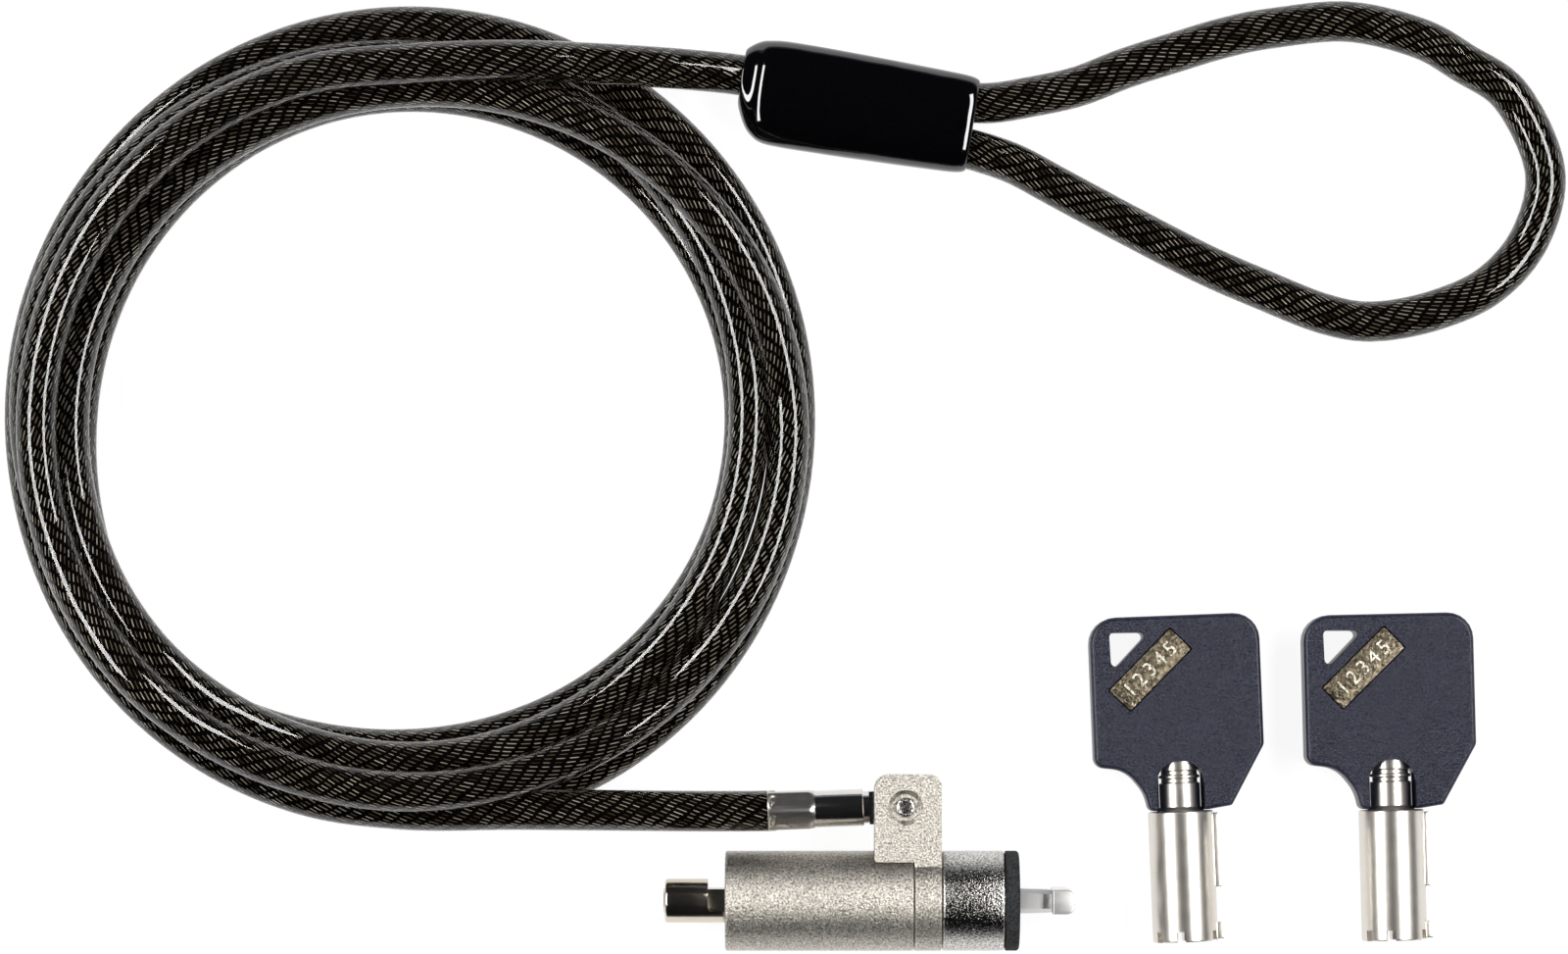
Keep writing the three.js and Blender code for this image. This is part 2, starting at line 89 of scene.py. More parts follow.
# turns modifiers into plain mesh
def settle(piece):
    evaluated = piece.evaluated_get(bpy.context.evaluated_depsgraph_get())
    mesh = bpy.data.meshes.new_from_object(evaluated)
    if piece.type != "MESH":
        name = piece.name
        bpy.data.objects.remove(piece)
        return linkPiece(name, mesh)
    old = piece.data
    piece.modifiers.clear()
    piece.data = mesh
    mesh.name = old.name
    bpy.data.meshes.remove(old)
    return piece


def pick(values, names):
    return [values[name] for name in names.split()]


# rounds the corners of a line of (x, y, radius) points with true arcs
def roundedLine(corners, closed=True, steps=5):
    points = []
    flat = [np.array(corner[:2], float) for corner in corners]
    for i, corner in enumerate(corners):
        radius = corner[2] if len(corner) > 2 else 0
        here = flat[i]
        if not radius or (not closed and i in (0, len(corners) - 1)):
            points.append(tuple(here))
            continue
        before = flat[i - 1] - here
        after = flat[(i + 1) % len(flat)] - here
        before /= np.linalg.norm(before)
        after /= np.linalg.norm(after)
        half = math.acos(max(-1, min(1, before.dot(after)))) / 2
        centre = here + (before + after) / np.linalg.norm(before + after) * radius / math.sin(half)
        first, last = (here + side * radius / math.tan(half) - centre for side in (before, after))
        start = math.atan2(first[1], first[0])
        sweep = (math.atan2(last[1], last[0]) - start + math.pi) % (2 * math.pi) - math.pi
        for k in range(steps + 1):
            angle = start + sweep * k / steps
            points.append((centre[0] + radius * math.cos(angle), centre[1] + radius * math.sin(angle)))
    return points


def meshPiece(name, vertices, faces):
    mesh = bpy.data.meshes.new(name)
    mesh.from_pydata([tuple(v) for v in vertices], [], faces)
    worked = bmesh.new()
    worked.from_mesh(mesh)
    bmesh.ops.remove_doubles(worked, verts=worked.verts, dist=1e-5)
    bmesh.ops.recalc_face_normals(worked, faces=worked.faces)
    worked.to_mesh(mesh)
    worked.free()
    return linkPiece(name, mesh)


# rings of points joined in order; a ring of one point is a pole
def skinned(name, rings, closed=False):
    vertices = []
    numbers = []
    for ring in rings:
        numbers.append(range(len(vertices), len(vertices) + len(ring)))
        vertices += list(ring)
    faces = []
    pairs = list(zip(numbers, numbers[1:])) + ([(numbers[-1], numbers[0])] if closed else [])
    for a, b in pairs:
        for k in range(max(len(a), len(b))):
            corners = [a[k % len(a)], a[(k + 1) % len(a)], b[(k + 1) % len(b)], b[k % len(b)]]
            corners = list(dict.fromkeys(corners))
            if len(corners) > 2:
                faces.append(corners)
    if not closed:
        faces += [list(ring) for ring in (numbers[0], numbers[-1]) if len(ring) > 2]
    return meshPiece(name, vertices, faces)


# (x, radius, rounding) corners turned about the X axis; open lines start and end on the axis
def turned(name, corners, closed=True, sides=96, steps=5):
    rings = []
    for x, radius in roundedLine(corners, closed, steps):
        if radius < 1e-6:
            rings.append([(x, 0, 0)])
        else:
            angles = (2 * math.pi * k / sides for k in range(sides))
            rings.append([(x, radius * math.cos(a), radius * math.sin(a)) for a in angles])
    return skinned(name, rings, closed)


# an outline in XY raised along Z
def prism(name, outline, low, high):
    return skinned(name, [[(x, y, z) for x, y in outline] for z in (low, high)])


def block(name, low, high):
    outline = [(low[0], low[1]), (high[0], low[1]), (high[0], high[1]), (low[0], high[1])]
    return prism(name, outline, low[2], high[2])


def turnPiece(piece, degrees, axis, move=(0, 0, 0)):
    piece.data.transform(Matrix.Translation(move) @ Matrix.Rotation(math.radians(degrees), 4, axis))
    return piece


def movePiece(piece, x, y, z):
    piece.data.transform(Matrix.Translation((x, y, z)))
    return piece


def joinOrCut(piece, operation, *tools):
    for tool in tools:
        modifier = piece.modifiers.new("solid", "BOOLEAN")
        modifier.operation = operation
        modifier.solver = "EXACT"
        modifier.object = tool
        settle(piece)
        bpy.data.objects.remove(tool)
    return piece


def softenEdges(piece, width, segments=3, angle=28):
    modifier = piece.modifiers.new("edges", "BEVEL")
    modifier.width = width
    modifier.segments = segments
    modifier.limit_method = "ANGLE"
    modifier.angle_limit = math.radians(angle)
    modifier.use_clamp_overlap = True
    return settle(piece)


# bakes a finished piece's place, shades it, and gives it its finish and its body
def finishPiece(piece, place, material, body, replaced=(), sharp=35):
    mesh = piece.data
    mesh.transform(place)
    if place.determinant() < 0:
        mesh.flip_normals()
    mesh.polygons.foreach_set("use_smooth", [True] * len(mesh.polygons))
    if sharp:
        mesh.set_sharp_from_angle(angle=math.radians(sharp))
    mesh.materials.clear()
    mesh.materials.append(material)
    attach(piece, body)
    if replaced:
        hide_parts(*replaced)
    return piece


def placeAt(x, y, z, degrees=0):
    turn = Matrix.Rotation(math.radians(degrees), 4, "Z")
    return Matrix.Scale(mm, 4) @ Matrix.Translation((x, y, z)) @ turn


# ---- table, light and camera ----

stage = {"x": -34.96, "y": 37.22, "size": 4000, "color": (0.12, 0.12, 0.12), "glow": 0.92}
camera = {"lens": 150, "sensor": 36, "viewWidth": 192, "focusHeight": 5}
light = {
    "horizon": (0.36, 0.39, 0.46), "overhead": (0.022, 0.023, 0.026),
    "horizonHeight": 0.02, "overheadHeight": 0.2, "nearSide": 0.4, "farSide": 0.9,
    "stripHeight": 400, "stripDistance": 345, "stripShift": 60, "stripLength": 560, "stripWidth": 150,
    "stripPower": 3.4,
}


def makeStage():
    half = stage["size"] / 2
    corners = [(-half, -half, 0), (half, -half, 0), (half, half, 0), (-half, half, 0)]
    floor = meshPiece("table", corners, [(0, 1, 2, 3)])
    floor.data.transform(placeAt(stage["x"], stage["y"], 0))
    material, tree, shader = newMaterial("paleTable")
    setInputs(tree, shader, {"Base Color": stage["color"], "Roughness": 0.9, "Specular IOR Level": 0.0,
                             "Emission Color": (1.0, 1.0, 1.0), "Emission Strength": stage["glow"]})
    floor.data.materials.append(material)

    world = bpy.data.worlds.new("studio")
    bpy.context.scene.world = world
    world.use_nodes = True
    tree = world.node_tree
    tree.nodes.clear()
    direction = addNode(tree, "ShaderNodeTexCoord").outputs["Generated"]
    sides = addNode(tree, "ShaderNodeSeparateXYZ", {0: direction})
    ramp = addNode(tree, "ShaderNodeValToRGB", {0: sides.outputs["Z"]})
    positions = (light["horizonHeight"], light["overheadHeight"])
    for element, position, color in zip(ramp.color_ramp.elements, positions, ("horizon", "overhead")):
        element.position = position
        element.color = (*light[color], 1)
    # the far side of the room is brighter than the near side
    strength = rangeOf(tree, sides.outputs["Y"], light["nearSide"], light["farSide"], -0.6, 0.6)
    background = addNode(tree, "ShaderNodeBackground", {0: ramp, 1: strength})
    addNode(tree, "ShaderNodeOutputWorld", {0: background})


# two long narrow strips beside the table, running front to back
def makeLights():
    centre = Vector((stage["x"], stage["y"], 0))
    for side, name in ((-1, "leftStrip"), (1, "rightStrip")):
        data = bpy.data.lights.new(name, "AREA")
        data.shape = "RECTANGLE"
        data.size, data.size_y = light["stripLength"] * mm, light["stripWidth"] * mm
        data.energy = light["stripPower"]
        strip = linkPiece(name, data)
        reach = Vector((side * light["stripDistance"], 0, light["stripHeight"]))
        strip.location = (centre + reach + Vector((0, light["stripShift"], 0))) * mm
        strip.rotation_euler = (-reach).to_track_quat("-Z", "Y").to_euler()


def makeCamera():
    data = bpy.data.cameras.new("camera")
    data.lens, data.sensor_width = camera["lens"], camera["sensor"]
    view = linkPiece("camera", data)
    distance = camera["viewWidth"] * camera["lens"] / camera["sensor"]
    view.location = Vector((stage["x"], stage["y"], distance + camera["focusHeight"])) * mm
    bpy.context.scene.camera = view
    bpy.context.scene.view_settings.view_transform = "Standard"


# ---- finishes ----


def newMaterial(name):
    material = bpy.data.materials.new(name)
    material.use_nodes = True
    tree = material.node_tree
    tree.nodes.clear()
    shader = addNode(tree, "ShaderNodeBsdfPrincipled")
    addNode(tree, "ShaderNodeOutputMaterial", {0: shader})
    return material, tree, shader


def newGroup(name, inputs, outputs):
    group = bpy.data.node_groups.new(name, "ShaderNodeTree")
    for label, kind, value in inputs:
        socket = group.interface.new_socket(label, in_out="INPUT", socket_type=f"NodeSocket{kind}")
        socket.default_value = value
    for label, kind in outputs:
        group.interface.new_socket(label, in_out="OUTPUT", socket_type=f"NodeSocket{kind}")
    return group, group.nodes.new("NodeGroupInput"), group.nodes.new("NodeGroupOutput")


# a grain in millimetres: a height for bumps and a 0 to 1 mask of its light spots
def grainGroup():
    group, given, result = newGroup(
        "surfaceGrain", [("Grain mm", "Float", 0.2), ("Detail", "Float", 2.0), ("Contrast", "Float", 2.0)],
        [("Height", "Float"), ("Mask", "Float")])
    place = addNode(group, "ShaderNodeTexCoord").outputs["Object"]
    perGrain = addMath(group, "DIVIDE", 1000.0, given.outputs["Grain mm"])
    noise = addNode(group, "ShaderNodeTexNoise", {"Vector": place, "Scale": perGrain, "Roughness": 0.6,
                                                  "Detail": given.outputs["Detail"]})
    centred = addMath(group, "SUBTRACT", noise, 0.5)
    stretched = addMath(group, "MULTIPLY", centred, given.outputs["Contrast"])
    lifted = addNode(group, "ShaderNodeMath", {0: stretched, 1: 0.5}, operation="ADD", use_clamp=True)
    setInputs(group, result, {"Height": noise, "Mask": lifted})
    return group


# hair-fine handling marks: long stretched noise in two directions
def marksGroup():
    group, given, result = newGroup("handlingMarks", [("Amount", "Float", 0.5)], [("Mask", "Float")])
    place = addNode(group, "ShaderNodeTexCoord").outputs["Object"]
    total = None
    for turn in (0.6, 2.1):
        mapping = addNode(group, "ShaderNodeMapping",
                          {"Vector": place, "Rotation": (0.3, 0.2, turn), "Scale": (160.0, 6000.0, 6000.0)})
        noise = addNode(group, "ShaderNodeTexNoise", {"Vector": mapping, "Scale": 1.0, "Detail": 1.0})
        line = addNode(group, "ShaderNodeMapRange", {0: noise, 1: 0.66, 2: 0.74})
        total = line if total is None else addMath(group, "MAXIMUM", total, line)
    amount = addMath(group, "MULTIPLY", total, given.outputs["Amount"])
    setInputs(group, result, {"Mask": amount})
    return group


def useGroup(tree, group, **values):
    node = addNode(tree, "ShaderNodeGroup", node_tree=group)
    setInputs(tree, node, {name.replace("_", " "): value for name, value in values.items()})
    return node


def grain(tree, size, detail=2.0, contrast=2.0):
    return useGroup(tree, surfaceGrain, Grain_mm=size, Detail=detail, Contrast=contrast)


def mixColors(tree, factor, first, second):
    node = addNode(tree, "ShaderNodeMix", {}, data_type="RGBA")
    setInputs(tree, node, {0: factor, 6: first, 7: second})
    return node.outputs[2]


def rangeOf(tree, value, low, high, fromLow=0.0, fromHigh=1.0):
    ends = {0: value, 1: fromLow, 2: fromHigh, 3: low, 4: high}
    return addNode(tree, "ShaderNodeMapRange", ends).outputs[0]


def bumpOf(tree, height, strength, distance):
    return addNode(tree, "ShaderNodeBump", {"Height": height, "Strength": strength, "Distance": distance})


def dress(tree, shader, shade, roughness, bump, metallic=0.0, specular=0.5):
    setInputs(tree, shader, {"Base Color": shade, "Roughness": roughness, "Normal": bump,
                             "Metallic": metallic, "Specular IOR Level": specular})


# nickel over a sand-blasted casting: satin, warm, with sparkling grain
def blastedNickel(name, color, grainSize, slope, roughness):
    material, tree, shader = newMaterial(name)
    fine = grain(tree, grainSize, 3.0, 3.0)
    cloud = grain(tree, 3.0, 2.0, 1.5)
    shade = mixColors(tree, fine.outputs["Mask"], tuple(v * 0.2 for v in color), color)
    bump = bumpOf(tree, fine.outputs["Height"], 1.0, slope * grainSize * mm)
    rough = rangeOf(tree, cloud.outputs["Mask"], roughness - 0.03, roughness + 0.05)
    dress(tree, shader, shade, rough, bump, metallic=1.0)
    return material


def polishedMetal(name, color, roughness):
    material, tree, shader = newMaterial(name)
    cloud = grain(tree, 1.6, 3.0, 1.6)
    marks = useGroup(tree, handlingMarks, Amount=0.5)
    clean = rangeOf(tree, cloud.outputs["Mask"], roughness, roughness + 0.05)
    rough = addMath(tree, "ADD", clean, addMath(tree, "MULTIPLY", marks, 0.12))
    dulled = rangeOf(tree, cloud.outputs["Mask"], 0.0, 0.4)
    shade = mixColors(tree, dulled, color, tuple(v * 0.86 for v in color))
    bump = bumpOf(tree, cloud.outputs["Height"], 0.1, 0.0001)
    dress(tree, shader, shade, rough, bump, metallic=1.0)
    return material


def mouldedPlastic(name, color, grainSize, slope, roughness):
    material, tree, shader = newMaterial(name)
    fine = grain(tree, grainSize, 2.0, 2.5)
    # the moulded grain stops at the rounded rim
    normal = addNode(tree, "ShaderNodeNewGeometry").outputs["Normal"]
    facing = addNode(tree, "ShaderNodeSeparateXYZ", {0: normal})
    flat = rangeOf(tree, addMath(tree, "ABSOLUTE", facing.outputs["Z"]), 0.15, 1.0, 0.95, 0.995)
    dark, pale = (tuple(v * share for v in color) for share in (0.2, 3.0))
    shade = mixColors(tree, fine.outputs["Mask"], dark, pale)
    bump = bumpOf(tree, fine.outputs["Height"], flat, slope * grainSize * mm)
    dress(tree, shader, shade, roughness, bump, specular=0.38)
    return material


def glossyVinyl():
    material, tree, shader = newMaterial("blackVinyl")
    wave = grain(tree, 4.0, 1.0, 1.0)
    bump = bumpOf(tree, wave.outputs["Height"], 0.25, 0.0004)
    # faint bluish specks on the black: dust, and a painted sheen of the overhead light
    dustAndSheen = grain(tree, 0.25, 1.0, 4.0)
    dustAndSheenSpecks = rangeOf(tree, dustAndSheen.outputs["Mask"], 0.0, 1.0, 0.8, 1.0)
    shade = mixColors(tree, dustAndSheenSpecks, (0.0004, 0.0004, 0.0006), (0.001, 0.001, 0.0016))
    dress(tree, shader, shade, 0.06, bump, specular=0.9)
    return material


def clearJacket():
    material, tree, shader = newMaterial("smokeJacket")
    wave = grain(tree, 8.0, 1.0, 1.0)
    bump = bumpOf(tree, wave.outputs["Height"], 0.05, 0.0003)
    setInputs(tree, shader, {"Base Color": (0.90, 0.87, 0.79), "Roughness": 0.03, "IOR": 1.55,
                             "Transmission Weight": 1.0, "Normal": bump, "Specular IOR Level": 0.6})
    return material


# each strand is a row of short wire crowns, each crown with a painted glint, no two alike
def ropeMetal():
    material, tree, shader = newMaterial("wireRope")
    reach = addNode(tree, "ShaderNodeAttribute", attribute_name="ropeReach").outputs["Fac"]
    around = addNode(tree, "ShaderNodeAttribute", attribute_name="ropeAround").outputs["Vector"]
    sides = addNode(tree, "ShaderNodeSeparateXYZ", {0: around})
    angle = addMath(tree, "ARCTAN2", sides.outputs["Y"], sides.outputs["X"])
    turns = addMath(tree, "MULTIPLY", angle, 1 / (2 * math.pi))
    strand = addMath(tree, "MULTIPLY", turns, float(rope["strands"]))
    along = addMath(tree, "MULTIPLY", reach, 1 / rope["crownLength"])
    wobble = grain(tree, 2.5, 1.0, 1.0)
    staggered = addMath(tree, "MULTIPLY", strand, rope["stagger"])
    shifted = addMath(tree, "ADD", along, addMath(tree, "ADD", staggered, wobble.outputs["Height"]))
    fromMiddle = addMath(tree, "SUBTRACT", addMath(tree, "FRACT", shifted), 0.5)
    crest = addMath(tree, "COSINE", addMath(tree, "MULTIPLY", strand, 2 * math.pi))
    crown = addMath(tree, "COSINE", addMath(tree, "MULTIPLY", fromMiddle, 2 * math.pi))
    ridge = rangeOf(tree, crest, 0.0, 1.0, 0.55, 1.0)
    lift = addMath(tree, "MULTIPLY", ridge, rangeOf(tree, crown, 0.0, 1.0, -0.95, -0.1))
    strandNumber = addMath(tree, "ROUND", strand)
    crownNumber = addMath(tree, "FLOOR", shifted)
    cell = addNode(tree, "ShaderNodeCombineXYZ", {0: strandNumber, 1: crownNumber})
    luck = addNode(tree, "ShaderNodeTexWhiteNoise", {0: cell}, noise_dimensions="3D").outputs["Value"]
    # painted glints: the tops of the crowns are lit in the base colour, and each crown is brighter or dimmer
    # at random
    glintMask = rangeOf(tree, lift, 0.0, 1.0, 0.35, 0.75)
    paintedGlint = addMath(tree, "MULTIPLY", glintMask, rangeOf(tree, luck, rope["dimmestGlint"], 1.0))
    glintColor = mixColors(tree, luck, rope["goldGlint"], rope["brightGlint"])
    shade = mixColors(tree, paintedGlint, rope["dark"], glintColor)
    bump = bumpOf(tree, lift, 0.6, 0.0002)
    dress(tree, shader, shade, 0.45, bump, metallic=0.15, specular=0.0)
    return material


def blackFoamRubber():
    material, tree, shader = newMaterial("blackRubber")
    pores = grain(tree, 0.35, 3.0, 3.5)
    shade = mixColors(tree, pores.outputs["Mask"], (0.005, 0.005, 0.0055), (0.030, 0.031, 0.033))
    bump = bumpOf(tree, pores.outputs["Height"], 0.9, 0.0002)
    dress(tree, shader, shade, 0.85, bump, specular=0.3)
    return material


# ---- the cable: a clear jacket over a laid wire rope ----

cable = {"diameter": 5.0, "pathStep": 0.8, "bevelSteps": 12}
rope = {
    "radius": 1.66, "hand": 1, "strands": 22, "depth": 0.12, "layLength": 32.0, "pointsPerStrand": 4,
    "ringStep": 1.5, "crownLength": 1.4, "stagger": 7 / 22, "dimmestGlint": 0.1,
    # the rope's near-black colour, then the two colours of its painted glints
    "dark": (0.003, 0.0022, 0.0015), "goldGlint": (0.72, 0.58, 0.36), "brightGlint": (1.0, 0.97, 0.88),
}
leadRoute = [
    (-36.0, -3.55, 6.1), (-37.24, -3.59, 6.1), (-40.8, -3.62, 6.12), (-47.5, -3.6, 6.2), (-56.0, -3.5, 6.5),
]
tailRoute = [
    (-59.5, 87.65, 9.25), (-51.0, 87.3, 6.95), (-43.4, 86.8, 4.75), (-39.9, 86.42, 3.8), (-36.7, 85.92, 3.7),
    (-31.0, 85.2, 3.7), (-24.0, 84.5, 3.7),
]
loopRoute = [
    (-15.4, 83.62, 3.7), (-12.7, 83.17, 3.6), (-9.3, 83.12, 3.1), (-5.0, 83.82, 2.6), (1.0, 85.12, 2.5),
    (7.0, 87.42, 2.5), (13.0, 89.32, 2.5), (19.0, 91.12, 2.5), (25.0, 92.32, 2.5), (34.3, 93.12, 2.5),
    (43.0, 91.12, 2.5), (48.4, 88.12, 2.5), (54.4, 83.92, 2.5), (58.5, 74.92, 2.5), (56.8, 66.82, 2.5),
    (51.9, 60.92, 2.5), (45.1, 57.72, 2.5), (37.6, 56.32, 2.5), (31.5, 57.22, 2.5), (23.6, 60.32, 2.5),
    (16.3, 63.52, 2.5), (7.0, 68.32, 2.5), (-1.4, 72.82, 2.5), (-6.2, 75.42, 2.6), (-10.0, 76.82, 3.1),
    (-13.4, 77.72, 3.6), (-16.3, 78.28, 3.7), (-22.0, 79.3, 3.7), (-31.6, 81.1, 3.7),
]
coil = {
    "x": -80.8, "y": 44.22, "pointsPerTurn": 24, "steepest": 0.3, "clearance": 0.92,
    # the distance from the centre at every quarter of a turn, from the bottom clockwise
    "radii": (47.6, 47.4, 48.3, 47.2, 47.9, 41.0, 40.3, 41.0, 40.4, 46.3, 44.3, 41.6, 41.8, 41.5, 40.6, 46.4,
              45.2, 45.0, 43.2),
    # the last point before the tail, right of and above the centre
    "tail": (12.0, 43.5),
}


# a Catmull-Rom curve through the points, in equal steps
def smoothPath(points, step):
    points = np.array(points, float)
    padded = np.vstack([2 * points[0] - points[1], points, 2 * points[-1] - points[-2]])
    dense = []
    for a, b, c, d in zip(padded, padded[1:], padded[2:], padded[3:]):
        t = np.linspace(0, 1, 24, endpoint=False)[:, None]
        bend = 2 * a - 5 * b + 4 * c - d
        turn = 3 * b - a - 3 * c + d
        dense.append(0.5 * (2 * b + (c - a) * t + bend * t**2 + turn * t**3))
    dense = np.vstack(dense + [points[-1:]])
    reach = np.concatenate([[0], np.cumsum(np.linalg.norm(np.diff(dense, axis=0), axis=1))])
    even = np.linspace(0, reach[-1], int(round(reach[-1] / step)) + 1)
    return np.stack([np.interp(even, reach, dense[:, i]) for i in range(dense.shape[1])], axis=1), reach[-1]


# the coil's turns: the lead comes in at the bottom, and each turn rests on those laid before it
def coilTurns():
    perTurn = coil["pointsPerTurn"]
    last = (len(coil["radii"]) - 1) * perTurn // 4
    quarters = np.arange(len(coil["radii"])) * perTurn / 4
    radiusRow = smoothPath(np.stack([quarters, coil["radii"]], axis=1), 0.05)[0]
    steps = {i: np.interp(i, radiusRow[:, 0], radiusRow[:, 1]) for i in range(last + 1)}
    # the lead, straight along the bottom
    steps[-1] = steps[0] / math.cos(2 * math.pi / perTurn)
    side, up = coil["tail"]
    steps[last + round(math.atan2(side, up) / (2 * math.pi) * perTurn)] = math.hypot(side, up)
    order = sorted(steps)
    # the first turn lies on the second one's start, so it counts as laid after it
    layer = {i: (1, -i) if i < perTurn else (0, i) if i < 2 * perTurn else (2, i) for i in order}
    angle = {i: -math.pi / 2 - 2 * math.pi * i / perTurn for i in order}
    centre = np.array([coil["x"], coil["y"]])
    place = {i: centre + steps[i] * np.array([math.cos(angle[i]), math.sin(angle[i])]) for i in order}
    spacing = cable["diameter"] * coil["clearance"]
    height = dict.fromkeys(order, cable["diameter"] / 2)
    pairs = [(i, j) for i in sorted(order, key=layer.get) for j in order
             if (i - j) % perTurn == 0 and layer[j] < layer[i] and abs(steps[i] - steps[j]) < spacing]
    neighbours = list(zip(order, order[1:])) + list(zip(order[::-1], order[::-1][1:]))
    for _ in range(6):
        for i, j in pairs:
            height[i] = max(height[i], height[j] + math.sqrt(spacing**2 - (steps[i] - steps[j])**2))
        for a, b in neighbours:
            height[b] = max(height[b], height[a] - coil["steepest"] * np.linalg.norm(place[a] - place[b]))
    return [(*place[i], height[i]) for i in order]


def pathCurve(name, path):
    curve = bpy.data.curves.new(name, "CURVE")
    curve.dimensions = "3D"
    spline = curve.splines.new("POLY")
    spline.use_smooth = True
    spline.points.add(len(path) - 1)
    spline.points.foreach_set("co", np.hstack([path * mm, np.ones((len(path), 1))]).ravel())
    return linkPiece(name, curve)


def treeInput(group, label, kind, value=None):
    socket = group.interface.new_socket(label, in_out="INPUT", socket_type=f"NodeSocket{kind}")
    if value is not None:
        socket.default_value = value
    return socket.identifier


# makes a tree's geometry real, smooth and coated, and gives it out
def finishTree(group, geometry, material):
    solid = addNode(group, "GeometryNodeRealizeInstances", {"Geometry": geometry})
    smooth = addNode(group, "GeometryNodeSetShadeSmooth", {"Geometry": solid})
    coated = addNode(group, "GeometryNodeSetMaterial", {"Geometry": smooth, "Material": material})
    addNode(group, "NodeGroupOutput", {0: coated})


# a laid rope: a lobed section carried along the curve and turned once in every lay length
def laidRopeTree(material):
    group = bpy.data.node_groups.new("laidRope", "GeometryNodeTree")
    treeInput(group, "Path", "Geometry")
    labels = {"Radius": rope["radius"] * mm, "Depth": rope["depth"] * mm,
              "Lay Length": rope["layLength"] * mm, "Ring Step": rope["ringStep"] * mm,
              "Strands": float(rope["strands"])}
    sockets = {label: treeInput(group, label, "Float", value) for label, value in labels.items()}
    group.interface.new_socket("Rope", in_out="OUTPUT", socket_type="NodeSocketGeometry")
    given = group.nodes.new("NodeGroupInput").outputs
    evened = addNode(group, "GeometryNodeResampleCurve",
                     {"Curve": given["Path"], "Length": given["Ring Step"]}, mode="LENGTH")
    reach = addNode(group, "GeometryNodeSplineParameter").outputs["Length"]
    turns = addMath(group, "DIVIDE", reach, given["Lay Length"])
    twist = addMath(group, "MULTIPLY", turns, rope["hand"] * 2 * math.pi)
    tilted = addNode(group, "GeometryNodeSetCurveTilt", {"Curve": evened, "Tilt": twist})
    reachMm = addMath(group, "MULTIPLY", reach, 1 / mm)
    marked = addNode(group, "GeometryNodeStoreNamedAttribute",
                     {"Geometry": tilted, "Name": "ropeReach", "Value": reachMm},
                     data_type="FLOAT", domain="POINT")

    circle = addNode(group, "GeometryNodeCurvePrimitiveCircle",
                     {"Resolution": rope["strands"] * rope["pointsPerStrand"], "Radius": 1.0})
    section = addNode(group, "GeometryNodeInputPosition")
    named = addNode(group, "GeometryNodeStoreNamedAttribute", {"Geometry": circle, "Name": "ropeAround"},
                    data_type="FLOAT_VECTOR", domain="POINT")
    vectorSocket = next(s for s in named.inputs if s.name == "Value" and s.type == "VECTOR")
    group.links.new(section.outputs[0], vectorSocket)
    factor = addNode(group, "GeometryNodeSplineParameter").outputs["Factor"]
    lobes = addMath(group, "MULTIPLY", addMath(group, "MULTIPLY", factor, given["Strands"]), math.pi)
    hollow = addMath(group, "SUBTRACT", 1.0, addMath(group, "ABSOLUTE", addMath(group, "COSINE", lobes)))
    radius = addMath(group, "SUBTRACT", given["Radius"], addMath(group, "MULTIPLY", hollow, given["Depth"]))
    scaled = addNode(group, "ShaderNodeVectorMath", {0: section}, operation="SCALE")
    setInputs(group, scaled, {3: radius})
    lobed = addNode(group, "GeometryNodeSetPosition", {"Geometry": named, "Position": scaled})

    skin = addNode(group, "GeometryNodeCurveToMesh",
                   {"Curve": marked, "Profile Curve": lobed, "Fill Caps": True})
    finishTree(group, skin, material)
    return group, sockets


def makeCable():
    route = leadRoute + coilTurns() + tailRoute + loopRoute
    path, length = smoothPath(route, cable["pathStep"])
    print(f"cable {length:.0f} mm long, centreline up to {path[:, 2].max():.1f} mm high")
    jacket = pathCurve("cableJacket", path)
    jacket.data.bevel_depth = cable["diameter"] / 2 * mm
    jacket.data.bevel_resolution = cable["bevelSteps"]
    jacket.data.use_fill_caps = True
    jacket.data.materials.append(smokeJacket)

    wires = pathCurve("wireRope", path)
    tree, sockets = laidRopeTree(ropeSteel)
    modifier = wires.modifiers.new("laid", "NODES")
    modifier.node_group = tree
    modifier[sockets["Radius"]] = rope["radius"] * mm
    wires = settle(wires)
    for piece in (jacket, wires):
        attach(piece, "cable")
    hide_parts("cable_lead", "cable_coil", "cable_tail", "cable_loop")
    return jacket, wires, length


makeStage()
makeLights()
makeCamera()
print("stage, lights and camera ready")

surfaceGrain = grainGroup()
handlingMarks = marksGroup()
satinNickel = blastedNickel("satinNickel", (0.76, 0.71, 0.63), 0.24, 0.55, 0.30)
brightNickel = blastedNickel("brightNickel", (0.82, 0.80, 0.76), 0.24, 0.33, 0.11)
polishedChrome = polishedMetal("polishedChrome", (0.70, 0.68, 0.65), 0.08)
barChrome = polishedMetal("barChrome", (0.84, 0.83, 0.81), 0.36)
warmChrome = polishedMetal("warmChrome", (0.66, 0.60, 0.50), 0.12)
satinChrome = polishedMetal("satinChrome", (0.62, 0.60, 0.57), 0.26)
keyNickel = polishedMetal("keyNickel", (0.72, 0.68, 0.62), 0.28)
springSteel = polishedMetal("springSteel", (0.5, 0.5, 0.51), 0.25)
turnedBrass = polishedMetal("turnedBrass", (0.68, 0.50, 0.22), 0.22)
blackRubber = blackFoamRubber()
blackVinyl = glossyVinyl()
keyPlastic = mouldedPlastic("keyPlastic", (0.007, 0.0078, 0.0165), 0.28, 1.1, 0.38)
tagMetal = blastedNickel("tagMetal", (0.24, 0.20, 0.14), 0.6, 0.4, 0.35)
digitMetal = blastedNickel("digitMetal", (0.95, 0.89, 0.72), 0.3, 0.4, 0.4)
smokeJacket = clearJacket()
ropeSteel = ropeMetal()
print("finishes ready")

jacket, wires, cableLength = makeCable()

# ---- the boot over the loop's crimp ----

